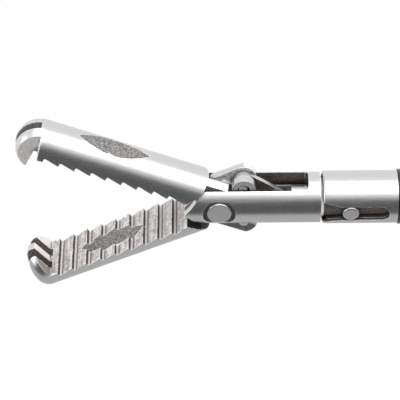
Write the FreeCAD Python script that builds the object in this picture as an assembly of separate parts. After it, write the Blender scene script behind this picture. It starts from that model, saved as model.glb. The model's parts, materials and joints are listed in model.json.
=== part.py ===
import FreeCAD, Part
import math
import os

V = FreeCAD.Vector

# Sizes are millimetres. The shaft lies along X with the jaws towards -X, the jaws
# open in the XZ plane and +Z is up. The origin is on the shaft axis at the front
# face of the rotation knob, where the working length begins. The model stands with
# its jaws fully open, as in use before a grip.

# Jaws
working_length = 330.0
jaw_length = 38.8
jaw_radius = 4.6
upper_open = 23.0
lower_open = 25.85
jaw_gap = 0.1
tooth_pitch = 2.95
tooth_depth = 0.85
tooth_floor = 0.35
tooth_face = 0.07
tooth_free = 9.0
lower_last_tooth = 5.8
upper_last_tooth = 5.25
window_from_nose = 16.8
window_length = 13.4
window_width = 4.2

# Noses. The dome's radius is this much over the jaw's, and the corner's is this much under
upper_dome_over = 0.4
upper_corner_under = 0.4
lower_dome_over = 2.4
lower_corner_under = 2.5

# Claws at the nose, lengths measured back from it
upper_claw_thickness = 3.1
upper_claw_lean = 0.15
lower_claw_thickness = 2.9
lower_claw_lean = 0.95
claw_reach = 4.3
claw_play = 0.1
claw_end_play = 0.15
upper_slot = 1.6
upper_tooth_width = 1.55
lower_slot_end = 4.3

# Hubs, tails and pivot
slot_width = 5.0
slot_play = 0.15
side_play = 0.08
hub_radius = 3.9
pivot_radius = 1.5
pivot_head_radius = 2.25
pivot_head_height = 0.45
counterbore_radius = 2.95
counterbore_floor = 3.85
running_play = 0.05

# Double-action linkage
knee_back = 5.7
knee_offset = 1.9
knee_end_radius = 2.4
knee_pin_radius = 0.75
knee_play = 0.32
link_length = 7.5
link_thickness = 1.6
link_knee_radius = 1.75
link_eye_radius = 1.6
boss_radius = 2.15
boss_play = 0.3
rod_pin_radius = 0.8
rod_head_radius = 2.3
rod_head_length = 11.0
rod_head_front = 2.0
rod_slot_depth = 2.4
rod_radius = 1.5

# Yoke, ferrule and key
arm_tip = 6.25
arm_angle = 50.0
arm_play = 0.3
yoke_slot_end = 16.1
yoke_slot_corner = 1.0
yoke_rear = 18.3
spigot_play = 0.05
spigot_end = 31.2
ferrule_gap = 0.35
ferrule_rear = 32.2
ferrule_wall = 0.6
ferrule_round = 0.5
key_place = 23.7
key_head_radius = 1.5
key_shank_radius = 0.9
key_head_top = 4.7
keyway_play = 0.1
keyway_end = 30.65
keyway_mouth = 3.6
keyway_flare = 3.2

# Shaft tube, sheath and rod guides
tube_radius = 4.2
tube_wall = 0.7
tube_set = 0.75
tube_past = 5.0
sheath_wall = 0.8
sheath_gap = 0.1
sheath_rear = 0.0
guide_length = 6.0
guide_count = 4
guide_first = 36.0
seal_length = 4.0

# Rotation knob
knob_length = 22.7
knob_nose_radius = 7.5
knob_grip_radius = 12.5
knob_shoulder = 3.0
knob_nose_flare = 1.0
knob_grip_from = 8.0
knob_grip_to = 18.0
knob_rear_radius = 9.0
flute_count = 10
flute_radius = 3.2
flute_centre = 14.6

# Handle head, half shells split at y = 0, lengths measured from its ends
knob_gap = 0.3
head_length = 40.0
head_top = 10.0
head_bottom = 15.5
head_half = 8.5
head_round = 3.0
front_wall = 8.0
rear_wall = 7.5
cavity_top = 7.6
cavity_bottom = 13.0
cavity_half = 6.0
bush_radius = 6.2
bush_flange_radius = 7.2
bush_flange = 1.2
collar_radius = 5.8
collar_length = 3.0
collar_play = 0.2

# Finger loop
loop_set = 4.0
loop_z = -62.0
loop_tube = 4.0
loop_radius = 15.0
loop_straight = 18.0
neck_top_radius = 8.0
neck_end_radius = 5.0
neck_half = 5.5
neck_round = 2.0
neck_set = 12.0
neck_top_z = -10.0

# Thumb lever
lever_set = 23.0
lever_drop = 7.6
lever_boss_radius = 5.6
lever_core_half = 3.2
lever_pin_radius = 2.0
lever_head_radius = 3.6
lever_head_depth = 1.6
ball_radius = 2.5
ball_play = 0.1
prong = 2.6
prong_top = 3.4
rod_slit_play = 0.35
rod_slit_drop = 1.3
thumb_back = 38.0
thumb_drop = 46.0
thumb_radius = 12.5
thumb_tube = 3.8
thumb_straight = 6.0
thumb_lean_share = 0.45
arm_half = 4.0
arm_start = 12.0
core_shank_radius = 4.4
core_tip_radius = 2.8
core_embed = 9.0
arm_radius = 5.4
arm_end_radius = 4.2
arm_slot_play = 0.4
arm_round = 1.6

# Electrode post and screws
post_radius = 2.0
post_shank_radius = 2.5
post_set = 5.0
post_top = 23.0
post_foot = 3.0
post_foot_height = 2.0
post_foot_radius = 3.3
post_collar_radius = 4.4
post_collar_top = 13.5
post_collar_sink = 2.5
post_round = 0.6
shell_screw_radius = 1.25
shell_screw_head = 2.4
shell_screw_sink = 2.0
shell_screw_head_height = 1.7
shell_screw_short = 3.0
front_screw_set = 4.0
front_screw_z = -11.3
rear_screw_set = 4.0
rear_screw_z = -3.0
hex_recess = 1.2
hex_depth = 1.1

# Values worked out from the sizes above
pivot_x = jaw_length - working_length
slot_half = slot_width / 2
cheek_half = slot_half - slot_play
link_half = link_thickness / 2
tail_inner = link_half + side_play
tooth_count = 1 + int((jaw_length - lower_last_tooth - tooth_free) / tooth_pitch)
window_centre = jaw_length - window_from_nose
lower_mid_half = upper_slot / 2 - claw_play
upper_tooth_out = upper_slot / 2 + upper_tooth_width
lower_side_in = upper_tooth_out + claw_play
upper_slot_face = lower_claw_thickness + lower_claw_lean + claw_end_play
upper_slot_back = lower_claw_thickness + claw_end_play
mean_open = math.radians((upper_open + lower_open) / 2)
knee_path = math.hypot(knee_back, knee_offset)
tube_bore = tube_radius - tube_wall
spigot_radius = tube_bore - spigot_play
ferrule_front = yoke_rear + ferrule_gap
ferrule_radius = tube_radius + ferrule_wall
tube_front = ferrule_front + tube_set
sheath_radius = tube_radius + sheath_wall
sheath_front = ferrule_rear + sheath_gap
head_front = knob_length + knob_gap
head_rear = head_front + head_length
cavity_front = head_front + front_wall
cavity_rear = head_rear - rear_wall
tube_rear = cavity_front + tube_past
loop_x = head_front + loop_set
neck_top_x = head_front + neck_set
lever_x = head_front + lever_set
post_x = head_rear - post_set


def knee_at(angle):
    """Lower jaw's knee, from the pivot, with the jaw opened by angle."""
    x = knee_back * math.cos(angle) - knee_offset * math.sin(angle)
    z = knee_back * math.sin(angle) + knee_offset * math.cos(angle)
    return x, z


def rod_pin_at(angle):
    x, z = knee_at(angle)
    return x + math.sqrt(link_length ** 2 - z ** 2)


rod_open = rod_pin_at(mean_open)
rod_closed = rod_pin_at(0.0)
rod_travel = rod_closed - rod_open
knee_open = knee_at(mean_open)
lever_half_angle = math.degrees(math.atan(rod_travel / 2 / lever_drop))
lever_squeeze = 2 * lever_half_angle
ball_rest = lever_x - rod_travel / 2


# Basic solids
def box(x0, x1, y0, y1, z0, z1):
    return Part.makeBox(x1 - x0, y1 - y0, z1 - z0, V(x0, y0, z0))


def bar_x(radius, x0, x1, y=0.0, z=0.0):
    return Part.makeCylinder(radius, x1 - x0, V(x0, y, z), V(1, 0, 0))


def bar_y(radius, y0, y1, x=0.0, z=0.0):
    return Part.makeCylinder(radius, y1 - y0, V(x, y0, z), V(0, 1, 0))


def bar_z(radius, z0, z1, x=0.0, y=0.0):
    return Part.makeCylinder(radius, z1 - z0, V(x, y, z0), V(0, 0, 1))


def sleeve(outer, inner, x0, x1):
    return bar_x(outer, x0, x1).cut(bar_x(inner, x0 - 1, x1 + 1))


def prism(points, y0, y1):
    """Polygon in XZ, pushed along Y."""
    corners = [V(x, y0, z) for x, z in points]
    return Part.Face(Part.makePolygon(corners + corners[:1])).extrude(V(0, y1 - y0, 0))


def tapered_bar(a, radius_a, b, radius_b, y0, y1):
    """Plate with two round ends, centres a and b in XZ."""
    span = math.hypot(b[0] - a[0], b[1] - a[1])
    heading = math.atan2(b[1] - a[1], b[0] - a[0])
    lean = math.acos((radius_a - radius_b) / span)

    def on(centre, radius, angle):
        return V(centre[0] + radius * math.cos(angle), y0, centre[1] + radius * math.sin(angle))

    a1, a2 = on(a, radius_a, heading + lean), on(a, radius_a, heading - lean)
    b1, b2 = on(b, radius_b, heading + lean), on(b, radius_b, heading - lean)
    edges = [
        Part.makeLine(a1, b1),
        Part.Arc(b1, on(b, radius_b, heading), b2).toShape(),
        Part.makeLine(b2, a2),
        Part.Arc(a2, on(a, radius_a, heading + math.pi), a1).toShape(),
    ]
    return Part.Face(Part.Wire(edges)).extrude(V(0, y1 - y0, 0))


def revolved(points, about=V(1, 0, 0)):
    """Solid of revolution about X from (x, radius) points."""
    corners = [V(x, 0, r) for x, r in points]
    face = Part.Face(Part.makePolygon(corners + corners[:1]))
    return face.revolve(V(0, 0, 0), about, 360)


def joined(shapes):
    return shapes[0].fuse(shapes[1:]).removeSplitter()


def turned(shape, angle, x=0.0, z=0.0):
    copy = shape.copy()
    copy.rotate(V(x, 0, z), V(0, 1, 0), angle)
    return copy


def at_pivot(shape):
    copy = shape.copy()
    copy.translate(V(pivot_x, 0, 0))
    return copy


def half_turned(shape):
    """Copy turned over about the shaft axis."""
    copy = shape.copy()
    copy.rotate(V(0, 0, 0), V(1, 0, 0), 180)
    return copy


def mirrored_z(shape):
    return shape.mirror(V(0, 0, 0), V(0, 0, 1))


def mirrored_y(shape):
    return shape.mirror(V(0, 0, 0), V(0, 1, 0))


def rounded(shape, radius, keep):
    """Fillet the edges that keep picks."""
    return shape.makeFillet(radius, [edge for edge in shape.Edges if keep(edge)])


# Jaws, drawn closed in the pivot's frame with the upper side at +Z
def bullet(dome_over, corner_under):
    """Round bar from the pivot to a domed nose with a smaller corner radius."""
    dome = jaw_radius + dome_over
    corner = jaw_radius - corner_under
    dome_x = dome - jaw_length
    corner_x = dome_x - math.sqrt((dome - corner) ** 2 - corner_under ** 2)
    join_angle = math.atan2(corner_under, dome_x - corner_x)
    corner_angle = (join_angle + math.pi / 2) / 2

    def on(x, height, radius, angle):
        return V(x - radius * math.cos(angle), 0, height + radius * math.sin(angle))

    foot, top = V(0, 0, 0), V(0, 0, jaw_radius)
    shoulder, tip = V(corner_x, 0, jaw_radius), V(-jaw_length, 0, 0)
    join = on(dome_x, 0, dome, join_angle)
    edges = [
        Part.makeLine(foot, top),
        Part.makeLine(top, shoulder),
        Part.Arc(shoulder, on(corner_x, corner_under, corner, corner_angle), join).toShape(),
        Part.Arc(join, on(dome_x, 0, dome, join_angle / 2), tip).toShape(),
        Part.makeLine(tip, foot),
    ]
    form = Part.Face(Part.Wire(edges)).revolve(foot, V(1, 0, 0), 360)
    form.rotate(foot, V(1, 0, 0), 90)  # turns the seam to the side
    return form


def shoulder_line(angle):
    """Corners of the half plane in front of the yoke's arm, for a jaw opened by angle."""
    tilt = math.radians(arm_angle) + angle
    reach = arm_tip * math.sin(math.radians(arm_angle)) + arm_play
    foot = V(-reach * math.sin(tilt), 0, reach * math.cos(tilt))
    along = V(math.cos(tilt), 0, math.sin(tilt)) * 2 * jaw_length
    ahead = V(-math.sin(tilt), 0, math.cos(tilt)) * 2 * jaw_length
    corners = [foot - along, foot + along, foot + along + ahead, foot - along + ahead]
    return prism([(p.x, p.z) for p in corners], -jaw_radius - 1, jaw_radius + 1)


def window_cutter():
    half = window_length / 2
    wide = window_width / 2
    tip_a, tip_b = V(-window_centre - half, 0, 0), V(-window_centre + half, 0, 0)
    arcs = [
        Part.Arc(tip_a, V(-window_centre, wide, 0), tip_b).toShape(),
        Part.Arc(tip_b, V(-window_centre, -wide, 0), tip_a).toShape(),
    ]
    return Part.Face(Part.Wire(arcs)).extrude(V(0, 0, jaw_radius + 1))


def tooth_cutters(last_tooth):
    """Grooves whose steep side faces the pivot, counted back from the nose."""
    cutters = []
    for step in range(tooth_count):
        floor = jaw_length - last_tooth - step * tooth_pitch
        peak = floor + tooth_floor / 2 + tooth_face
        profile = [
            (-peak, 0),
            (-peak, jaw_gap),
            (-floor - tooth_floor / 2, tooth_depth),
            (-floor + tooth_floor / 2, tooth_depth),
            (-peak + tooth_pitch, jaw_gap),
            (-peak + tooth_pitch, 0),
        ]
        cutters.append(prism(profile, -jaw_radius - 1, jaw_radius + 1))
    return cutters


def nose_band(inner, outer, z0, z1, end0, end1):
    """Slabs at the nose between two distances from the middle. They reach back from
    the nose by end0 at height z0 and by end1 at height z1."""
    far = jaw_length + 1
    profile = [(-far, z0), (-jaw_length + end0, z0), (-jaw_length + end1, z1), (-far, z1)]
    if inner == 0:
        return prism(profile, -outer, outer)
    slab = prism(profile, inner, outer)
    return slab.fuse(mirrored_y(slab))


def knee_relief():
    """Room in a tail for the boss of the other link, from closed to fully open."""
    clear = boss_radius + boss_play
    reach = knee_path + 2 * clear
    closed = bar_y(clear, -1, jaw_radius, knee_back, knee_offset)
    ring = bar_y(knee_path + clear, -1, jaw_radius).cut(bar_y(knee_path - clear, -2, jaw_radius + 1))
    quarter = box(0, reach, -2, jaw_radius + 1, 0, reach)
    quarter = turned(quarter, -math.degrees(math.atan2(knee_offset, knee_back)))
    return closed.fuse(ring.common(quarter))


def jaw(open_angle, last_tooth, nose, claws, claw_ends, slots, slot_ends):
    """One jaw on the +Z side, its hub and tail on the -Y side. Claws and slots are given
    as distances from the middle, with their ends as for nose_band."""
    reach = jaw_length + 1
    form = bullet(*nose)
    wide = form.common(box(-reach, 0, -reach, reach, jaw_gap, reach))
    body = wide.common(shoulder_line(0)).common(shoulder_line(math.radians(open_angle)))

    plate = tapered_bar((0, 0), hub_radius, (knee_back, -knee_offset), knee_end_radius, 0, cheek_half)
    plate = plate.common(bar_x(jaw_radius, -reach, reach)).cut(knee_relief())
    neck = wide.common(box(-reach / 2, 0, 0, cheek_half, 0, reach))
    root = plate.fuse(neck).cut(box(-reach, reach, -1, side_play / 2, -reach, reach))
    middle = box(-hub_radius, reach, 0, tail_inner, -reach, reach).cut(bar_y(hub_radius, -1, reach))
    root = mirrored_y(root.cut(middle))

    shape = joined([body, root])
    shape = shape.cut([window_cutter()] + tooth_cutters(last_tooth))
    for inner, outer in slots:
        shape = shape.cut(nose_band(inner, outer, 0, jaw_radius + 1, *slot_ends))
    hooks = []
    for inner, outer in claws:
        hooks.append(form.common(nose_band(inner, outer, -claw_reach, jaw_gap, *claw_ends)))
    shape = joined([shape] + hooks)
    shape = shape.cut(bar_y(pivot_radius + running_play, -reach, reach))
    return shape.cut(bar_y(knee_pin_radius, -reach, reach, knee_back, -knee_offset))


upper_jaw = jaw(
    upper_open,
    upper_last_tooth,
    nose=(upper_dome_over, upper_corner_under),
    claws=[(upper_slot / 2, upper_tooth_out)],
    claw_ends=(upper_claw_thickness, upper_claw_thickness + upper_claw_lean),
    slots=[(0, upper_slot / 2), (upper_tooth_out, jaw_radius + 1)],
    slot_ends=(upper_slot_face, upper_slot_back),
)
lower_jaw = half_turned(jaw(
    lower_open,
    lower_last_tooth,
    nose=(lower_dome_over, lower_corner_under),
    claws=[(0, lower_mid_half), (lower_side_in, jaw_radius + 1)],
    claw_ends=(lower_claw_thickness, lower_claw_thickness + lower_claw_lean),
    slots=[(lower_mid_half, lower_side_in)],
    slot_ends=(lower_slot_end, lower_slot_end),
))

lower_knee_pin = bar_y(knee_pin_radius, -cheek_half, cheek_half, knee_back, knee_offset)
upper_knee_pin = mirrored_z(lower_knee_pin)


# Links, drawn at the open position
def link(side_z, side_y):
    """Half-lapped link. Its knee boss fills the slot on the side away from its tail."""
    knee = (knee_open[0], side_z * knee_open[1])
    eye = (rod_open, 0.0)
    half = tapered_bar(knee, link_knee_radius, eye, link_eye_radius, side_play / 2, link_half)
    middle = bar_y(link_knee_radius, -tail_inner, link_half, *knee)
    boss = bar_y(boss_radius, -cheek_half, -tail_inner, *knee)
    shape = joined([half, middle, boss])
    if side_y < 0:
        shape = mirrored_y(shape)
    shape = shape.cut(bar_y(knee_pin_radius + knee_play, -slot_half, slot_half, *knee))
    return shape.cut(bar_y(rod_pin_radius + running_play, -slot_half, slot_half, *eye))


# Yoke with its fork, slot, counterbores and spigot
def yoke():
    body = joined([bar_x(jaw_radius, -arm_tip, yoke_rear), bar_x(spigot_radius, 0, spigot_end)])
    slot = box(-arm_tip - 1, yoke_slot_end, -slot_half, slot_half, -jaw_radius - 1, jaw_radius + 1)
    slot = rounded(slot, yoke_slot_corner, lambda edge: upright_at(edge, yoke_slot_end))
    body = body.cut(slot)
    rise = jaw_radius + 1
    run = rise / math.tan(math.radians(arm_angle))
    ahead = [(-arm_tip, 0), (-arm_tip + run, rise), (-arm_tip - rise, rise), (-arm_tip - rise, 0)]
    front = prism(ahead, -rise, rise)
    body = body.cut([front, mirrored_z(front)])
    cutters = [
        bar_x(rod_head_radius + running_play, 0, spigot_end + 1),
        bar_y(pivot_radius, -rise, rise),
        bar_y(counterbore_radius, counterbore_floor, rise),
        bar_y(counterbore_radius, -rise, -counterbore_floor),
        bar_y(key_shank_radius, -rise, 0, key_place),
    ]
    return body.cut(cutters)


def upright_at(edge, x):
    box_of = edge.BoundBox
    return abs(box_of.XMin - x) < 0.01 and abs(box_of.XMax - x) < 0.01 and box_of.ZLength > 1


def pivot_pin():
    shank = bar_y(pivot_radius, -counterbore_floor, counterbore_floor)
    head = bar_y(pivot_head_radius, counterbore_floor, counterbore_floor + pivot_head_height)
    head = rounded(head, pivot_head_height * 0.5, lambda edge: edge.BoundBox.YMin > counterbore_floor + 0.1)
    return joined([shank, head, mirrored_y(head)])


def rod_head():
    front = rod_open - rod_head_front
    rear = front + rod_head_length
    body = bar_x(rod_head_radius, front, rear)
    slot = box(front - 1, rod_open + rod_slot_depth, -tail_inner, tail_inner, -slot_half, slot_half)
    nose = bar_y(rod_head_front, -slot_half, slot_half, rod_open)
    beyond = box(rod_open, rear, -slot_half, slot_half, -slot_half, slot_half)
    body = body.common(nose.fuse(beyond))
    body = body.cut(slot)
    body = body.cut(bar_y(rod_pin_radius, -slot_half, slot_half, rod_open))
    return body.cut(bar_x(rod_radius, rod_open + rod_slot_depth + 2, rear + 1))


def keyway(radius):
    """Cutter for the slot on the near side, open at the front and flared there."""
    half = key_head_radius + keyway_play
    end = keyway_end - half
    slot = box(ferrule_front - 2, end, -radius - 1, 0, -half, half)
    slot = slot.fuse(bar_y(half, -radius - 1, 0, end))
    mouth = keyway_mouth / 2 + half / 2
    flare = [
        (ferrule_front - 1, -mouth), (ferrule_front - 1, mouth),
        (ferrule_front + keyway_flare, half), (ferrule_front + keyway_flare, -half),
    ]
    return slot.fuse(prism(flare, -radius - 1, 0))


def ferrule():
    body = sleeve(ferrule_radius, tube_radius, ferrule_front, ferrule_rear)
    body = rounded(body, ferrule_round, lambda edge: rim_at(edge, ferrule_front, ferrule_radius))
    return body.cut(keyway(ferrule_radius))


def rim_at(edge, x, radius):
    box_of = edge.BoundBox
    return abs(box_of.XMin - x) < 0.01 and box_of.XLength < 0.01 and abs(box_of.ZMax - radius) < 0.05


def key_pin():
    shank = bar_y(key_shank_radius, -spigot_radius, -rod_head_radius - 2 * running_play, key_place)
    head = bar_y(key_head_radius, -key_head_top, -spigot_radius, key_place)
    head = rounded(head, 0.3, lambda edge: edge.BoundBox.YMax < -key_head_top + 0.1)
    seat = bar_x(spigot_radius, 0, spigot_end)
    return joined([shank, head]).cut(seat.cut(bar_y(key_shank_radius, -slot_width, 0, key_place)))


tube_start = pivot_x + tube_front


def inner_tube():
    body = sleeve(tube_radius, tube_bore, tube_start, tube_rear)
    return body.cut(at_pivot(keyway(tube_radius)))


def rod_guides():
    """Guide bushes spread evenly along the tube."""
    first = pivot_x + guide_first
    last = -guide_length
    step = (last - first) / (guide_count - 1)
    guides = []
    for number in range(guide_count):
        start = first + number * step
        guides.append(sleeve(tube_bore, rod_radius + running_play, start, start + guide_length))
    return Part.makeCompound(guides)


def knob():
    profile = [
        (0, tube_radius), (0, knob_nose_radius),
        (knob_grip_from - knob_shoulder, knob_nose_radius + knob_nose_flare),
        (knob_grip_from, knob_grip_radius), (knob_grip_to, knob_grip_radius),
        (knob_length, knob_rear_radius), (knob_length, tube_radius),
    ]
    body = revolved(profile)
    for number in range(flute_count):
        angle = 2 * math.pi * number / flute_count
        y, z = flute_centre * math.cos(angle), flute_centre * math.sin(angle)
        body = body.cut(bar_x(flute_radius, -1, knob_length + 1, y, z))
    return body


# Handle
def stadium_ring(x, z, radius, straight, tube):
    """Round bar bent to a loop with two straight sides along Z."""
    low, high = z - straight / 2, z + straight / 2
    top = Part.makeTorus(radius, tube, V(x, 0, high), V(0, 1, 0))
    bottom = Part.makeTorus(radius, tube, V(x, 0, low), V(0, 1, 0))
    reach = radius + 2 * tube
    top = top.common(box(x - reach, x + reach, -reach, reach, high, high + reach))
    bottom = bottom.common(box(x - reach, x + reach, -reach, reach, low - reach, low))
    sides = [bar_z(tube, low, high, x + side * radius) for side in (-1, 1)]
    return joined([top, bottom] + sides)


# Shell screws as (x, z, half thickness of the handle there)
shell_screw_places = [
    (head_front + front_screw_set, front_screw_z, head_half),
    (head_rear - rear_screw_set, rear_screw_z, head_half),
    (loop_x, loop_z + loop_straight / 2 + loop_radius, neck_half),
]


def handle_body():
    head = box(head_front, head_rear, -head_half, head_half, -head_bottom, head_top)
    head = head.makeFillet(head_round, head.Edges)
    neck_end = (loop_x, loop_z + loop_straight / 2 + loop_radius)
    neck = tapered_bar(
        (neck_top_x, neck_top_z), neck_top_radius, neck_end, neck_end_radius, -neck_half, neck_half
    )
    neck = neck.makeFillet(neck_round, neck.Edges)
    loop = stadium_ring(loop_x, loop_z, loop_radius, loop_straight, loop_tube)
    body = joined([head, neck, loop])

    cavity = box(cavity_front, cavity_rear, -cavity_half, cavity_half, -cavity_bottom, cavity_top)
    lever_way = box(
        lever_x - lever_boss_radius - 1.5, head_rear + 1,
        -arm_half - arm_slot_play, arm_half + arm_slot_play,
        -head_bottom - 1, -lever_drop,
    )
    cutters = [
        cavity,
        lever_way,
        bar_x(bush_radius, head_front - 1, cavity_front + 1),
        bar_x(bush_flange_radius, head_front - 1, head_front + bush_flange),
        bar_y(lever_pin_radius, -head_half - 1, head_half + 1, lever_x, -lever_drop),
        bar_z(post_shank_radius, 0, head_top + 1, post_x),
        bar_z(post_foot_radius, post_foot, post_foot + post_foot_height, post_x),
        bar_z(post_collar_radius, head_top - post_collar_sink, head_top + 1, post_x),
    ]
    for side in (-1, 1):
        cutters.append(screw_hole(lever_head_radius, lever_head_depth, head_half, side, lever_x, -lever_drop))
    return body.cut(cutters)


def screw_hole(radius, depth, half, side, x, z):
    if side > 0:
        return bar_y(radius, half - depth, half + 1, x, z)
    return bar_y(radius, -half - 1, -half + depth, x, z)


def half_of(body, side):
    far = 200.0
    keep = box(-far, far, 0, far, -far, far) if side > 0 else box(-far, far, -far, 0, -far, far)
    holes = []
    for x, z, thickness in shell_screw_places:
        holes.append(bar_y(shell_screw_radius, -far, thickness - shell_screw_short, x, z))
        holes.append(bar_y(shell_screw_head + 0.1, -far, -thickness + shell_screw_sink, x, z))
    return body.common(keep).cut(holes)


def shell_screws():
    """Cheese-head screws with hexagon sockets, heads sunk in the left shell."""
    screws = []
    for x, z, thickness in shell_screw_places:
        seat = -thickness + shell_screw_sink
        top = seat - shell_screw_head_height
        shank = bar_y(shell_screw_radius, seat, thickness - shell_screw_short, x, z)
        head = bar_y(shell_screw_head, top, seat, x, z)
        socket = hexagon(hex_recess, top - 1, top + hex_depth, x, z)
        screws.append(joined([shank, head]).cut(socket))
    return Part.makeCompound(screws)


def hexagon(radius, y0, y1, x, z):
    corners = []
    for number in range(6):
        angle = math.pi / 3 * number
        corners.append((x + radius * math.cos(angle), z + radius * math.sin(angle)))
    return prism(corners, y0, y1)


def front_bush():
    body = bar_x(bush_radius, head_front, cavity_front)
    flange = bar_x(bush_flange_radius, head_front, head_front + bush_flange)
    return joined([body, flange]).cut(bar_x(tube_radius + running_play, 0, tube_rear))


thumb_rest = (lever_x + thumb_back, -lever_drop - thumb_drop)
thumb_reach = math.hypot(thumb_back, thumb_drop)


def along_arm(distance):
    """Point on the line from the lever's pivot to the thumb ring."""
    share = distance / thumb_reach
    return (lever_x + share * thumb_back, -lever_drop - share * thumb_drop)


def lever_core():
    """Steel lever head: pivot boss, shank and the fork that holds the rod's ball."""
    y0, y1 = -lever_core_half, lever_core_half
    gap = ball_radius + ball_play
    fork_half = gap + prong
    fork = box(lever_x - fork_half, lever_x + fork_half, y0, y1, -lever_drop, prong_top)
    fork = rounded(fork, 1.5, lambda edge: edge.BoundBox.ZMin > prong_top - 0.1 and edge.BoundBox.YLength > 1)
    slot = box(lever_x - gap, lever_x + gap, y0 - 1, y1 + 1, -gap - 0.3, prong_top + 1)
    slit_half = rod_radius + rod_slit_play
    slit_floor = -rod_radius - rod_slit_drop
    slit = box(lever_x - fork_half - 1, lever_x, -slit_half, slit_half, slit_floor, prong_top + 1)
    fork = turned(fork.cut([slot, slit]), -lever_half_angle, lever_x, -lever_drop)
    boss = bar_y(lever_boss_radius, y0, y1, lever_x, -lever_drop)
    shank = tapered_bar(
        (lever_x, -lever_drop), core_shank_radius, along_arm(arm_start + core_embed), core_tip_radius, y0, y1
    )
    boss = boss.cut(turned(slot, -lever_half_angle, lever_x, -lever_drop))
    return joined([fork, boss, shank]).cut(
        bar_y(lever_pin_radius + running_play, y0 - 1, y1 + 1, lever_x, -lever_drop)
    )


def thumb_lever():
    ring = stadium_ring(thumb_rest[0], thumb_rest[1], thumb_radius, thumb_straight, thumb_tube)
    lean = math.degrees(math.atan2(thumb_back, thumb_drop))
    ring = turned(ring, -lean * thumb_lean_share, *thumb_rest)
    end = along_arm(thumb_reach - thumb_radius - thumb_straight / 2)
    arm = tapered_bar(along_arm(arm_start), arm_radius, end, arm_end_radius, -arm_half, arm_half)
    return joined([arm.makeFillet(arm_round, arm.Edges), ring])


def lever_pin():
    """Pivot screw through both half shells."""
    seat = head_half - lever_head_depth
    shank = bar_y(lever_pin_radius, -seat, seat, lever_x, -lever_drop)
    heads = [
        bar_y(lever_head_radius, seat, head_half - 0.3, lever_x, -lever_drop),
        bar_y(lever_head_radius, -head_half + 0.3, -seat, lever_x, -lever_drop),
    ]
    return joined([shank] + heads)


def electrode_post():
    post = bar_z(post_radius, post_foot, post_top, post_x)
    shank = bar_z(post_shank_radius, post_foot, post_collar_top, post_x)
    foot = bar_z(post_foot_radius, post_foot, post_foot + post_foot_height, post_x)
    post = rounded(post, post_round, lambda edge: edge.BoundBox.ZMin > post_top - 0.1)
    return joined([post, shank, foot])


def post_collar():
    outer = bar_z(post_collar_radius, head_top - post_collar_sink, post_collar_top, post_x)
    outer = rounded(outer, 0.8, lambda edge: edge.BoundBox.ZMin > post_collar_top - 0.1)
    return outer.cut(bar_z(post_shank_radius, 0, post_top, post_x))


# Nodes
whole_handle = handle_body()
rod_start = pivot_x + rod_open + rod_slot_depth + 2
lever_steel = lever_core()

nodes = {
    "upper_jaw": at_pivot(turned(upper_jaw, upper_open)),
    "lower_jaw": at_pivot(turned(lower_jaw, -lower_open)),
    "upper_knee_pin": at_pivot(turned(upper_knee_pin, upper_open)),
    "lower_knee_pin": at_pivot(turned(lower_knee_pin, -lower_open)),
    "upper_link": at_pivot(link(-1, -1)),
    "lower_link": at_pivot(link(1, 1)),
    "jaw_yoke": at_pivot(yoke()),
    "jaw_pivot_pin": at_pivot(pivot_pin()),
    "rod_head": at_pivot(rod_head()),
    "rod_pin": at_pivot(bar_y(rod_pin_radius, -rod_head_radius + 0.3, rod_head_radius - 0.3, rod_open)),
    "ferrule": at_pivot(ferrule()),
    "key_pin": at_pivot(key_pin()),
    "inner_tube": inner_tube(),
    "insulation_sheath": sleeve(sheath_radius, tube_radius, pivot_x + sheath_front, sheath_rear),
    "rod_guides": rod_guides(),
    "rod_seal": sleeve(tube_bore, rod_radius + running_play, tube_rear - seal_length, tube_rear),
    "rotation_knob": knob(),
    "shaft_collar": sleeve(
        collar_radius, tube_radius, cavity_front + collar_play, cavity_front + collar_play + collar_length
    ),
    "drive_rod": bar_x(rod_radius, rod_start, ball_rest - ball_radius + 0.6),
    "rod_ball": Part.makeSphere(ball_radius, V(ball_rest, 0, 0)),
    "handle_shell_left": half_of(whole_handle, -1),
    "handle_shell_right": half_of(whole_handle, 1),
    "front_bush": front_bush(),
    "lever_core": lever_steel,
    "thumb_lever": thumb_lever().cut(lever_steel),
    "lever_pivot_screw": lever_pin(),
    "shell_screws": shell_screws(),
    "electrode_post": electrode_post(),
    "post_collar": post_collar(),
}
nodes["rod_ball"] = nodes["rod_ball"].cut(nodes["drive_rod"])

os.makedirs("parts", exist_ok=True)
for name, shape in nodes.items():
    shape.exportStep("parts/" + name + ".step")
    print(name, len(shape.Solids), round(shape.Volume, 1), shape.isValid())
print("rod travel", round(rod_travel, 3), "lever squeeze", round(lever_squeeze, 2))
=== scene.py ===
import json
import math
import bpy
from mathutils import Matrix, Vector


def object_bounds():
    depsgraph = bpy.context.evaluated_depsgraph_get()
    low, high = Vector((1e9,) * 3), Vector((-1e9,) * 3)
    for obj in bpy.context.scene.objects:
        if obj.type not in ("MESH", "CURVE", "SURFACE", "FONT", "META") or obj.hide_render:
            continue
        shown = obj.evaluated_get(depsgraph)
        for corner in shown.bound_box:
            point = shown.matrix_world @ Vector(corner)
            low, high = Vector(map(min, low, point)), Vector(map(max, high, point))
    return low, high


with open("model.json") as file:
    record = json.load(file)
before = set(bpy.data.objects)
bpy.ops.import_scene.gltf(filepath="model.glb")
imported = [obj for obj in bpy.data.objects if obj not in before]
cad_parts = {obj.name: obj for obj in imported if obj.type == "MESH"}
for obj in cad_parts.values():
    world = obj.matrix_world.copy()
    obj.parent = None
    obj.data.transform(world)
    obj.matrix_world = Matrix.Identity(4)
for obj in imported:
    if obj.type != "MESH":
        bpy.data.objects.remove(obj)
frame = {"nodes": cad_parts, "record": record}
nodes = frame["nodes"]
scene = bpy.context.scene


def plain(bounds):
    return [[float(c) for c in corner] for corner in bounds]


cad_bounds = plain(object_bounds())
lowest = cad_bounds[0][2]

scene.view_settings.view_transform = "Standard"

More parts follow.
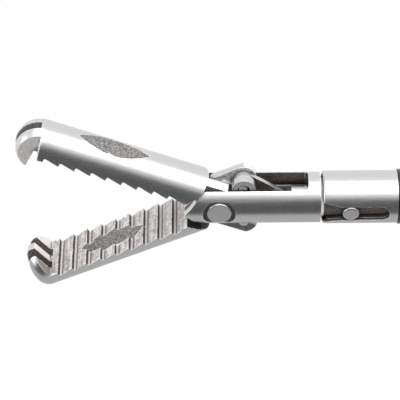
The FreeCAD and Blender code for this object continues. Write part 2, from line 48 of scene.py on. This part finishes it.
# Camera of the photograph: it looks along +Y and down at the working end
ELEVATION = math.radians(43.6)
AZIMUTH = math.radians(0.14)
ROLL = math.radians(-0.39)
DISTANCE = 0.372
IMAGE_PIXELS = 400.0
FOCAL_PIXELS = 2048.0
SENSOR_WIDTH = 36.0
CLIP_START = 0.01
TARGET = Vector((-0.29464, 0.0, -0.00054))

# Light, floor and cards. The cards are seen by reflection only: grey under the instrument,
# dark in front of it, and lighter behind it and up a standing part
WORLD_LIGHT = 0.7
OVERHEAD_PLACE = (0.05, -0.10, 0.75)
OVERHEAD_TARGET = (0.05, -0.10, 0.0)
OVERHEAD_SIZE = (1.4, 0.8)
OVERHEAD_POWER = 5.0
LEFT_PLACE = (-1.15, -0.14, 0.26)
LEFT_TARGET = (-0.32, 0.0, 0.0)
LEFT_SIZE = (0.65, 0.36)
LEFT_POWER = 1.6
FLOOR_REACH = 2.5
FLOOR_GAP = 0.0006
FLOOR_TONE = 0.86
FLOOR_ROUGH = 0.7
FLOOR_GLOW = 0.88
CARD_ABOVE_FLOOR = 0.002
CARD_NEAR = -0.11
CARD_FAR = -0.8
CARD_TOP = 0.84
CARD_DARK = 0.33
CARD_BACK = 0.08
CARD_SIDES = (-1.2, 0.9)
CARD_STEP = 0.02
CARD_BACK_STEP = 0.05
CARD_UNDER_TONES = (0.12, 0.58)
CARD_BEHIND_TONE = 0.4
CARD_ABOVE_TONE = 0.85

# Jaws: angles of the drawn open jaws in degrees, distances from the pivot in metres
PIVOT = Vector((-0.2912, 0.0, 0.0))
UPPER_OPEN = 23.0
LOWER_OPEN = 25.85
JAW_RADIUS = 0.0046
UPPER_NOSE = 0.0342
LOWER_NOSE = 0.0345
UPPER_CLAW_ROOT = 0.03555
LOWER_CLAW_ROOT = 0.03495

# Limits between the surfaces of a jaw, each from none to all
OUTWARD_FACING = (0.78, 0.84)
PIVOT_FACING = (0.45, 0.60)
SIDE_FACING = (0.60, 0.75)
TEETH_END = (-0.0125, -0.0115)
TAIL_START = (-0.0060, -0.0050)
BELOW_CLAWS = (-0.00010, 0.00004)
NEAR_CLAW_SIDE = (-0.0017, -0.0013)
WINDOW_END = (0.0006, 0.0001)
SLOT_HALF = (0.0009, 0.0011)
LOW_FLANK = (0.00070, 0.00077)
GROOVE_LINE = (0.00082, 0.00084)
GROOVE_FLOOR = (0.00080, 0.00083)
ROOT_LINE = (0.00005, 0.00012)
CREST_REACH = (JAW_RADIUS - 0.00045, JAW_RADIUS - 0.0003)
CREST_DEPTH = (0.00022, 0.00032)
CREST_PATCHES = (0.38, 0.46)
FLANK_STREAKS = (0.34, 0.68)

# Strengths and scales of a jaw's milled surfaces
ROOT_LINE_SHARE = 0.7
SLOT_SHARE = 0.6
GROOVE_SHARE = 0.75
FACE_SPECKLE = 0.2
SIDE_SPECKLE = 0.58
CUT_SCALE = (2600.0, 160.0, 2600.0)
PATCH_SCALE = 1500.0

# Tones of a jaw's milled surfaces: random streaks on the flanks, painted shade low on the flanks, at the
# claws' root, on the steep sides and in the slot, and painted highlights on the groove floors and the
# lit claws' faces
FLANK_DARK = (0.36, 0.335, 0.325)
FLANK_LIGHT = (0.90, 0.86, 0.85)
LOW_FLANK_SHADE_TONE = (0.24, 0.215, 0.205)
GROOVE_HIGHLIGHT_TONE = (0.95, 0.94, 0.93)
ROOT_SHADE_TONE = (0.20, 0.18, 0.17)
CLAW_FACE_LIT_TONE = (0.93, 0.90, 0.90)
STEEP_SHADE_TONE = (0.09, 0.08, 0.075)
STEEP_SHADOW_BEHIND_TEETH = (0.03, 0.03, 0.03)
SLOT_SHADE_TONE = (0.10, 0.09, 0.085)

# Yoke and ferrule
YOKE_RADIUS = 0.0046
# Milled insides of the yoke's slot and the ferrule's keyway: milled steel, darkened further as painted
# shade in these recesses
YOKE_MILLED_AND_SHADE = (0.14, 0.12, 0.105)
FERRULE_RADIUS = 0.0048
FERRULE_MILLED_AND_SHADE = (0.12, 0.10, 0.09)
YOKE_GAP = -0.2727
GAP_REACH = (0.0003, 0.0004)
SPIGOT_RADIUS = (0.0036, 0.0038)
OUTSIDE_WALL = (0.00010, 0.00004)
RIM_WIDTH = (0.0011, 0.0010)
END_FACING = (0.35, 0.60)

# Steel
SATIN_POLISH = 0.9
SATIN_SPREAD = 0.1
SATIN_MILLED = (0.45, 0.44, 0.43)
SATIN_DARK = (0.60, 0.60, 0.61)
SATIN_LIGHT = (0.70, 0.70, 0.71)
# Pale tone of the painted highlights on edges, groove floors, crest ends and the spigot in the gap
PAINTED_HIGHLIGHT_TONE = (0.98, 0.97, 0.96)
BRUSH_SCALE = (500.0, 5000.0, 5000.0)
CLOUD_SCALE = 160.0
GRAIN_SCALE = 4200.0
# Size of the patches of the painted edge highlight
HIGHLIGHT_PATCH_SCALE = 1300.0
SHARE_SCALE = 900.0
EDGE_ROUND = 0.0001
# Painted edge highlight: bevel reach, limits of the normal match and of the patches
EDGE_HIGHLIGHT_REACH = 0.00028
EDGE_MATCH = (0.995, 0.93)
HIGHLIGHT_PATCH_RANGE = (0.36, 0.50)
# Painted shade in inner corners: ambient occlusion reach, its range and the darkest share
CREVICE = 0.0012
CREVICE_RANGE = (0.15, 0.75)
CREVICE_SHADE = 0.22
OPEN_RANGE = (0.60, 0.80)
GRAIN_RANGE = (0.36, 0.64)
MIDDLE_RANGE = (0.3, 0.7)
SATIN_ROUGH = (0.25, 0.32)
MILLED_ROUGHER = 0.26
MILLED_LESS_METAL = -0.5
BRUSH_HEIGHT = 0.12
POLISHED_GRAIN_HEIGHT = 0.04
DEFAULT_SPECKLE = 0.45

ahead = Vector((
    math.sin(AZIMUTH) * math.cos(ELEVATION),
    math.cos(AZIMUTH) * math.cos(ELEVATION),
    -math.sin(ELEVATION),
))
right = ahead.cross(Vector((0, 0, 1))).normalized()
up = right.cross(ahead)
right_rolled = right * math.cos(ROLL) + up * math.sin(ROLL)
up_rolled = up * math.cos(ROLL) - right * math.sin(ROLL)
camera_data = bpy.data.cameras.new("camera")
camera_data.sensor_width = SENSOR_WIDTH
camera_data.lens = FOCAL_PIXELS * SENSOR_WIDTH / IMAGE_PIXELS
camera_data.clip_start = CLIP_START
camera = bpy.data.objects.new("camera", camera_data)
place = Matrix((right_rolled, up_rolled, -ahead)).transposed().to_4x4()
place.translation = TARGET - ahead * DISTANCE
camera.matrix_world = place
scene.collection.objects.link(camera)
scene.camera = camera


# Node helpers
class Graph:
    """Short way to build a node tree."""

    def __init__(self, tree):
        self.tree = tree
        tree.nodes.clear()

    def add(self, kind, inputs=None, **settings):
        node = self.tree.nodes.new(kind)
        for key, value in settings.items():
            setattr(node, key, value)
        for key, value in (inputs or {}).items():
            if isinstance(value, bpy.types.NodeSocket):
                self.tree.links.new(value, node.inputs[key])
            else:
                node.inputs[key].default_value = value
        return node

    def math(self, operation, a, b=0.0, c=0.0):
        return self.add("ShaderNodeMath", {0: a, 1: b, 2: c}, operation=operation).outputs[0]

    def ramp(self, value, low, high, to_low=0.0, to_high=1.0):
        node = self.add(
            "ShaderNodeMapRange",
            {"Value": value, "From Min": low, "From Max": high, "To Min": to_low, "To Max": to_high},
        )
        node.clamp = True
        return node.outputs["Result"]

    def blend(self, factor, a, b):
        node = self.add("ShaderNodeMix", data_type="RGBA")
        for socket, value in ((node.inputs[0], factor), (node.inputs[6], a), (node.inputs[7], b)):
            if isinstance(value, bpy.types.NodeSocket):
                self.tree.links.new(value, socket)
            else:
                socket.default_value = (*value[:3], 1.0)
        return node.outputs[2]

    def mean(self, a, b):
        return self.math("MULTIPLY_ADD", a, 0.5, self.math("MULTIPLY", b, 0.5))

    def rest_of(self, share):
        return self.math("SUBTRACT", 1.0, share)

    def texture_place(self):
        return self.add("ShaderNodeTexCoord").outputs["Object"]

    def stretch(self, vector, scale):
        return self.add("ShaderNodeMapping", {"Vector": vector, "Scale": scale}).outputs[0]

    def noise(self, vector, scale, detail):
        settings = {"Vector": vector, "Scale": scale, "Detail": detail}
        return self.add("ShaderNodeTexNoise", settings).outputs["Fac"]

    def axes(self, vector):
        return tuple(self.add("ShaderNodeSeparateXYZ", {0: vector}).outputs)

    def scaled(self, vector, factor):
        node = self.add("ShaderNodeVectorMath", {0: vector, "Scale": factor}, operation="SCALE")
        return node.outputs[0]

    def dot(self, a, b):
        node = self.add("ShaderNodeVectorMath", {0: a, 1: b}, operation="DOT_PRODUCT")
        return node.outputs["Value"]

    def length(self, vector):
        node = self.add("ShaderNodeVectorMath", {0: vector}, operation="LENGTH")
        return node.outputs["Value"]

    def bump(self, height, strength, distance, **inputs):
        settings = {"Height": height, "Strength": strength, "Distance": distance, **inputs}
        return self.add("ShaderNodeBump", settings).outputs[0]

    def principled(self, inputs):
        return self.add("ShaderNodeBsdfPrincipled", inputs).outputs[0]


def seen_ray(graph):
    """1 for camera, glossy and transmission rays."""
    path = graph.add("ShaderNodeLightPath")
    first = graph.math("MAXIMUM", path.outputs["Is Camera Ray"], path.outputs["Is Glossy Ray"])
    return graph.math("MAXIMUM", first, path.outputs["Is Transmission Ray"])


def material(name, build):
    new = bpy.data.materials.new(name)
    new.use_nodes = True
    graph = Graph(new.node_tree)
    out = graph.add("ShaderNodeOutputMaterial")
    shader = build(graph)
    graph.tree.links.new(shader, out.inputs["Surface"])
    return new


def grey(value):
    return (value, value, value, 1.0)


# Light
world = bpy.data.worlds.new("studio")
scene.world = world
world.use_nodes = True
world_graph = Graph(world.node_tree)
seen = seen_ray(world_graph)
dim = world_graph.add("ShaderNodeBackground", {"Color": grey(WORLD_LIGHT), "Strength": 1.0})
white = world_graph.add("ShaderNodeBackground", {"Color": grey(1.0), "Strength": 1.0})
mixed = world_graph.add("ShaderNodeMixShader", {0: seen, 1: dim.outputs[0], 2: white.outputs[0]})
world_graph.add("ShaderNodeOutputWorld", {"Surface": mixed.outputs[0]})


def area_light(name, place, target, size, power):
    data = bpy.data.lights.new(name, "AREA")
    data.shape = "RECTANGLE"
    data.size, data.size_y = size
    data.energy = power
    lamp = bpy.data.objects.new(name, data)
    lamp.location = place
    lamp.rotation_euler = (Vector(target) - Vector(place)).to_track_quat("-Z", "Y").to_euler()
    scene.collection.objects.link(lamp)


area_light("overhead", OVERHEAD_PLACE, OVERHEAD_TARGET, OVERHEAD_SIZE, OVERHEAD_POWER)
area_light("left", LEFT_PLACE, LEFT_TARGET, LEFT_SIZE, LEFT_POWER)


def floor_shader(graph):
    seen_value = seen_ray(graph)
    body = graph.principled({"Base Color": grey(FLOOR_TONE), "Roughness": FLOOR_ROUGH})
    glow = graph.add("ShaderNodeEmission", {"Color": grey(1.0), "Strength": 1.0})
    share = graph.math("MULTIPLY", seen_value, FLOOR_GLOW)
    return graph.add("ShaderNodeMixShader", {0: share, 1: body, 2: glow.outputs[0]}).outputs[0]


floor_level = lowest - FLOOR_GAP
floor_mesh = bpy.data.meshes.new("floor")
floor_mesh.from_pydata(
    [
        (-FLOOR_REACH, -FLOOR_REACH, floor_level), (FLOOR_REACH, -FLOOR_REACH, floor_level),
        (FLOOR_REACH, FLOOR_REACH, floor_level), (-FLOOR_REACH, FLOOR_REACH, floor_level),
    ],
    [], [(0, 1, 2, 3)],
)
floor = bpy.data.objects.new("floor", floor_mesh)
floor_mesh.materials.append(material("floor_paint", floor_shader))
scene.collection.objects.link(floor)


def card_shader(graph):
    _, y, z = graph.axes(graph.texture_place())
    under = graph.ramp(y, CARD_NEAR - CARD_STEP, CARD_NEAR + CARD_STEP, *CARD_UNDER_TONES)
    behind = graph.ramp(y, CARD_BACK - CARD_BACK_STEP, CARD_BACK, 0.0, CARD_BEHIND_TONE)
    above = graph.ramp(z, CARD_DARK, CARD_TOP, 0.0, CARD_ABOVE_TONE)
    tone = graph.math("ADD", graph.math("ADD", under, behind), above)
    return graph.add("ShaderNodeEmission", {"Color": grey(1.0), "Strength": tone}).outputs[0]


card_level = floor_level + CARD_ABOVE_FLOOR
left_side, right_side = CARD_SIDES
card_mesh = bpy.data.meshes.new("cards")
card_mesh.from_pydata(
    [
        (left_side, CARD_BACK, card_level), (right_side, CARD_BACK, card_level),
        (right_side, CARD_FAR, card_level), (left_side, CARD_FAR, card_level),
        (right_side, CARD_FAR, CARD_TOP), (left_side, CARD_FAR, CARD_TOP),
    ],
    [], [(0, 1, 2, 3), (3, 2, 4, 5)],
)
card = bpy.data.objects.new("cards", card_mesh)
card_mesh.materials.append(material("card_tones", card_shader))
scene.collection.objects.link(card)
card.visible_camera = False
card.visible_diffuse = False
card.visible_transmission = False
card.visible_shadow = False


# Materials
def jaw_place(graph, angle):
    """Position and normal in the frame of a closed jaw, from the pivot, for a jaw that is drawn
    turned by angle."""
    back = Matrix.Rotation(-math.radians(angle), 3, "Y")
    turn = (0.0, -math.radians(angle), 0.0)
    source = graph.add("ShaderNodeTexCoord")
    place = graph.add(
        "ShaderNodeMapping",
        {"Vector": source.outputs["Object"], "Location": tuple(-(back @ PIVOT)), "Rotation": turn},
    )
    normal = graph.add(
        "ShaderNodeMapping", {"Vector": source.outputs["Normal"], "Rotation": turn}, vector_type="VECTOR"
    )
    return place.outputs[0], normal.outputs[0]


def steel_shader(graph, local, polished, milled_tone, speckle=DEFAULT_SPECKLE, painted_highlight=0.0):
    """Satin steel where polished is 1, milled steel of milled_tone, uneven by speckle, where it
    is 0, with painted shade in inner corners and a painted highlight in patches on edges. The last
    argument marks where a pale painted highlight goes, with no painted corner shade and no metal."""
    brush = graph.noise(graph.stretch(local, BRUSH_SCALE), scale=1.0, detail=3.0)
    cloud = graph.noise(local, CLOUD_SCALE, detail=2.0)
    grain = graph.noise(local, GRAIN_SCALE, detail=2.0)
    satin = graph.blend(graph.mean(cloud, brush), SATIN_DARK, SATIN_LIGHT)
    uneven = graph.ramp(grain, *GRAIN_RANGE, -1.0, 1.0)
    speck = graph.math("MULTIPLY_ADD", uneven, speckle, 1.0)
    tone = graph.blend(polished, graph.scaled(milled_tone, speck), satin)

    # Painted shade: inner corners, found by ambient occlusion, are darkened in the colour
    open_share = graph.add("ShaderNodeAmbientOcclusion", {"Distance": CREVICE}, samples=6).outputs["AO"]
    corner_shade = graph.ramp(open_share, *CREVICE_RANGE, CREVICE_SHADE, 1.0)
    tone = graph.scaled(tone, graph.math("MAXIMUM", corner_shade, painted_highlight))

    # Painted highlight: pale patches along edges, where the rounded normal leaves the flat one, away
    # from inner corners
    edge = graph.add("ShaderNodeBevel", {"Radius": EDGE_ROUND}, samples=6).outputs[0]
    wide = graph.add("ShaderNodeBevel", {"Radius": EDGE_HIGHLIGHT_REACH}, samples=8).outputs[0]
    flat = graph.add("ShaderNodeNewGeometry").outputs["Normal"]
    match = graph.dot(wide, flat)
    highlight_patches = graph.noise(local, HIGHLIGHT_PATCH_SCALE, detail=2.0)
    edge_highlight = graph.math("MULTIPLY", graph.ramp(match, *EDGE_MATCH), graph.ramp(highlight_patches, *HIGHLIGHT_PATCH_RANGE))
    edge_highlight = graph.math("MULTIPLY", edge_highlight, graph.ramp(open_share, *OPEN_RANGE))
    tone = graph.blend(graph.math("MAXIMUM", edge_highlight, painted_highlight), tone, PAINTED_HIGHLIGHT_TONE)

    # Gloss and grain
    satin_rough = graph.ramp(brush, *MIDDLE_RANGE, *SATIN_ROUGH)
    unpolished = graph.rest_of(polished)
    rough = graph.math("MULTIPLY_ADD", unpolished, MILLED_ROUGHER, satin_rough)
    metallic = graph.math("MULTIPLY_ADD", unpolished, MILLED_LESS_METAL, 1.0)
    metallic = graph.math("MULTIPLY", metallic, graph.rest_of(painted_highlight))
    grain_share = graph.ramp(polished, 0.0, 1.0, 1.0, POLISHED_GRAIN_HEIGHT)
    height = graph.math(
        "ADD", graph.math("MULTIPLY", brush, BRUSH_HEIGHT), graph.math("MULTIPLY", grain, grain_share)
    )
    bump = graph.bump(height, strength=0.5, distance=0.00006, Normal=edge)
    return graph.principled(
        {"Base Color": tone, "Metallic": metallic, "Roughness": rough, "Normal": bump}
    )


def jaw_steel(angle, face_side, nose_centre, claw_root, window, claw_side, near_claw, tail_side,
              claw_speckle):
    """Polished outside, milled teeth, window and claws, for a jaw drawn turned by angle, with painted
    shade and painted highlights in the milled tones. face_side is the sign of z beyond the face.
    nose_centre and claw_root are distances from the pivot, and window, claw_side, near_claw and
    tail_side are tones, which paint light and shade for each jaw."""

    def build(graph):
        local, normal = jaw_place(graph, angle)
        x, y, z = graph.axes(local)
        facing_x, facing_y, _ = graph.axes(normal)
        nose = graph.math("MINIMUM", graph.math("ADD", x, nose_centre), 0.0)
        from_axis = graph.add("ShaderNodeCombineXYZ", {0: nose, 1: y, 2: z}).outputs[0]
        outward = graph.add("ShaderNodeVectorMath", {0: from_axis}, operation="NORMALIZE").outputs[0]
        polished = graph.ramp(graph.dot(outward, normal), *OUTWARD_FACING)

        # Depth below the face, and which way each milled surface looks
        depth = graph.math("MULTIPLY", z, -face_side)
        to_pivot = graph.ramp(facing_x, *PIVOT_FACING)
        to_side = graph.ramp(graph.math("ABSOLUTE", facing_y), *SIDE_FACING)
        behind_teeth = graph.ramp(x, *TEETH_END)
        tail = graph.ramp(x, *TAIL_START)
        claw = graph.ramp(depth, *BELOW_CLAWS, 1.0, 0.0)

        # Flanks of the teeth in random streaks, painted shade low on the flanks and along the line at
        # the claws' root, and a painted highlight along the groove floors
        cuts = graph.noise(graph.stretch(local, CUT_SCALE), scale=1.0, detail=2.0)
        patch = graph.noise(local, PATCH_SCALE, detail=2.0)
        streaks = graph.mean(patch, cuts)
        flank = graph.blend(graph.ramp(streaks, *FLANK_STREAKS), FLANK_DARK, FLANK_LIGHT)
        face = graph.blend(graph.ramp(depth, *LOW_FLANK), flank, LOW_FLANK_SHADE_TONE)
        # Painted highlight: a pale line along the groove floors
        face = graph.blend(graph.ramp(depth, *GROOVE_LINE), face, GROOVE_HIGHLIGHT_TONE)
        root_gap = graph.math("ABSOLUTE", graph.math("ADD", x, claw_root))
        root_shade_line = graph.ramp(root_gap, *ROOT_LINE, ROOT_LINE_SHARE, 0.0)
        face = graph.blend(root_shade_line, face, ROOT_SHADE_TONE)

        # Steep sides of the teeth in painted shade, near black behind the teeth as painted shadow under
        # the yoke; the claws' faces pale as painted light, the near claw in a tone given per jaw
        claw_face = graph.blend(graph.ramp(y, *NEAR_CLAW_SIDE), near_claw, CLAW_FACE_LIT_TONE)
        steep = graph.blend(behind_teeth, STEEP_SHADE_TONE, STEEP_SHADOW_BEHIND_TEETH)
        steep = graph.blend(claw, steep, claw_face)

        # Surfaces that look sideways: window, claws with the slot between them, and tail. The slot
        # between the claws gets painted shade, and the tones of window, claw sides and tail, given per
        # jaw, carry painted light and shade
        window_start, window_stop = WINDOW_END
        past_window = graph.ramp(x, window_start - claw_root, window_stop - claw_root, 0.0, 1.0)
        side = graph.blend(past_window, window, claw_side)
        between_claws = graph.ramp(graph.math("ABSOLUTE", y), *SLOT_HALF, 1.0, 0.0)
        in_slot = graph.math("MULTIPLY", past_window, between_claws)
        side = graph.blend(graph.math("MULTIPLY", in_slot, SLOT_SHARE), side, SLOT_SHADE_TONE)
        side = graph.blend(tail, side, tail_side)

        milled = graph.blend(to_side, graph.blend(to_pivot, face, steep), side)
        speckle = graph.ramp(to_side, 0.0, 1.0, FACE_SPECKLE, SIDE_SPECKLE)
        claw_sides = graph.math("MULTIPLY", past_window, to_side)
        speckle = graph.ramp(claw_sides, 0.0, 1.0, speckle, claw_speckle)

        # Painted highlights: pale groove floors, and glints in patches on the crest ends
        off_face = graph.math("MAXIMUM", graph.math("MAXIMUM", to_side, to_pivot), claw)
        on_teeth = graph.rest_of(off_face)
        groove_highlight = graph.math("MULTIPLY", graph.ramp(depth, *GROOVE_FLOOR, 0.0, GROOVE_SHARE), on_teeth)
        crest_end = graph.math(
            "MULTIPLY",
            graph.ramp(graph.length(from_axis), *CREST_REACH),
            graph.ramp(depth, *CREST_DEPTH, 1.0, 0.0),
        )
        crest_end = graph.math("MULTIPLY", crest_end, on_teeth)
        crest_glint = graph.math("MULTIPLY", crest_end, graph.ramp(patch, *CREST_PATCHES))
        painted_highlight = graph.math("MAXIMUM", groove_highlight, crest_glint)
        painted_highlight = graph.math("MULTIPLY", painted_highlight, graph.rest_of(polished))
        return steel_shader(graph, local, polished, milled, speckle, painted_highlight)

    return build


def round_steel(radius, milled):
    """Polished at and beyond radius from the shaft axis and on its end faces, milled inside.
    The spigot in the gap behind the yoke is painted pale as painted light, with no painted corner shade."""

    def build(graph):
        source = graph.add("ShaderNodeTexCoord")
        local = source.outputs["Object"]
        x, y, z = graph.axes(local)
        facing_x, _, _ = graph.axes(source.outputs["Normal"])
        from_axis = graph.add("ShaderNodeCombineXYZ", {0: 0.0, 1: y, 2: z}).outputs[0]
        distance = graph.length(from_axis)
        wall_start, wall_stop = OUTSIDE_WALL
        outside = graph.ramp(distance, radius - wall_start, radius - wall_stop)
        end_face = graph.ramp(graph.math("ABSOLUTE", facing_x), *END_FACING)
        rim_start, rim_stop = RIM_WIDTH
        near_rim = graph.ramp(distance, radius - rim_start, radius - rim_stop)
        polished = graph.math("MAXIMUM", outside, graph.math("MULTIPLY", end_face, near_rim))
        # Painted light: the spigot in the gap is pale, with no painted corner shade
        from_gap = graph.math("ABSOLUTE", graph.math("SUBTRACT", x, YOKE_GAP))
        inner = graph.ramp(distance, *SPIGOT_RADIUS, 1.0, 0.0)
        painted_highlight = graph.math("MULTIPLY", graph.ramp(from_gap, *GAP_REACH, 1.0, 0.0), inner)
        return steel_shader(graph, local, polished, milled, painted_highlight=painted_highlight)

    return build


def satin_steel(graph):
    local = graph.texture_place()
    share = graph.noise(local, SHARE_SCALE, detail=2.0)
    least = max(0.0, SATIN_POLISH - SATIN_SPREAD)
    most = min(1.0, SATIN_POLISH + SATIN_SPREAD)
    polished = graph.ramp(share, low=0.2, high=0.8, to_low=least, to_high=most)
    return steel_shader(graph, local, polished, SATIN_MILLED)


def gloss_black(graph):
    cloud = graph.noise(graph.texture_place(), scale=700.0, detail=3.0)
    rough = graph.ramp(cloud, *MIDDLE_RANGE, to_low=0.2, to_high=0.3)
    tone = graph.blend(cloud, grey(0.012), grey(0.02))
    bump = graph.bump(cloud, strength=0.05, distance=0.00002)
    return graph.principled({"Base Color": tone, "Roughness": rough, "Normal": bump})


def moulded_black(graph):
    place = graph.texture_place()
    grain = graph.noise(place, scale=2500.0, detail=2.0)
    cloud = graph.noise(place, scale=60.0, detail=2.0)
    tone = graph.blend(cloud, grey(0.018), grey(0.032))
    rough = graph.ramp(cloud, *MIDDLE_RANGE, to_low=0.42, to_high=0.55)
    bump = graph.bump(grain, strength=0.25, distance=0.00006)
    return graph.principled({"Base Color": tone, "Roughness": rough, "Normal": bump})


def tan_bush(graph):
    cloud = graph.noise(graph.texture_place(), scale=900.0, detail=3.0)
    tone = graph.blend(cloud, (0.46, 0.38, 0.26), (0.56, 0.48, 0.35))
    bump = graph.bump(cloud, strength=0.1, distance=0.00003)
    return graph.principled({"Base Color": tone, "Roughness": 0.5, "Normal": bump})


def red_rubber(graph):
    cloud = graph.noise(graph.texture_place(), scale=1200.0, detail=3.0)
    tone = graph.blend(cloud, (0.36, 0.08, 0.05), (0.48, 0.13, 0.09))
    return graph.principled({"Base Color": tone, "Roughness": 0.65})


# Upper jaw: tail side dark as painted shade under the yoke, near claw pale as painted light
upper_jaw_steel = jaw_steel(
    angle=UPPER_OPEN,
    face_side=-1.0,
    nose_centre=UPPER_NOSE,
    claw_root=UPPER_CLAW_ROOT,
    window=(0.60, 0.585, 0.575),
    claw_side=(0.63, 0.60, 0.585),
    near_claw=(0.93, 0.88, 0.88),
    tail_side=(0.145, 0.14, 0.137),
    claw_speckle=0.22,
)
# Lower jaw: claw sides, near claw and window darker as painted shade, tail side pale as painted light
lower_jaw_steel = jaw_steel(
    angle=-LOWER_OPEN,
    face_side=1.0,
    nose_centre=LOWER_NOSE,
    claw_root=LOWER_CLAW_ROOT,
    window=(0.48, 0.455, 0.45),
    claw_side=(0.27, 0.225, 0.21),
    near_claw=(0.36, 0.32, 0.30),
    tail_side=(0.62, 0.60, 0.59),
    claw_speckle=0.5,
)

# Looks: by material slot, and of their own for the pieces that show their milling
slot_looks = {
    "steel": material("satin_steel", satin_steel),
    "insulation": material("gloss_insulation", gloss_black),
    "handle_plastic": material("moulded_plastic", moulded_black),
    "bush_plastic": material("bush_plastic", tan_bush),
    "seal": material("seal_rubber", red_rubber),
}
own_looks = {
    "upper_jaw": material("upper_jaw_steel", upper_jaw_steel),
    "lower_jaw": material("lower_jaw_steel", lower_jaw_steel),
    "jaw_yoke": material("yoke_steel", round_steel(YOKE_RADIUS, YOKE_MILLED_AND_SHADE)),
    "ferrule": material("ferrule_steel", round_steel(FERRULE_RADIUS, FERRULE_MILLED_AND_SHADE)),
}
slot_of = {part["node"]: part["material_slot"] for part in frame["record"]["subparts"]}
for name, obj in nodes.items():
    look = own_looks.get(name, slot_looks[slot_of[name]])
    if obj.material_slots:
        for slot in obj.material_slots:
            slot.material = look
    else:
        obj.data.materials.append(look)
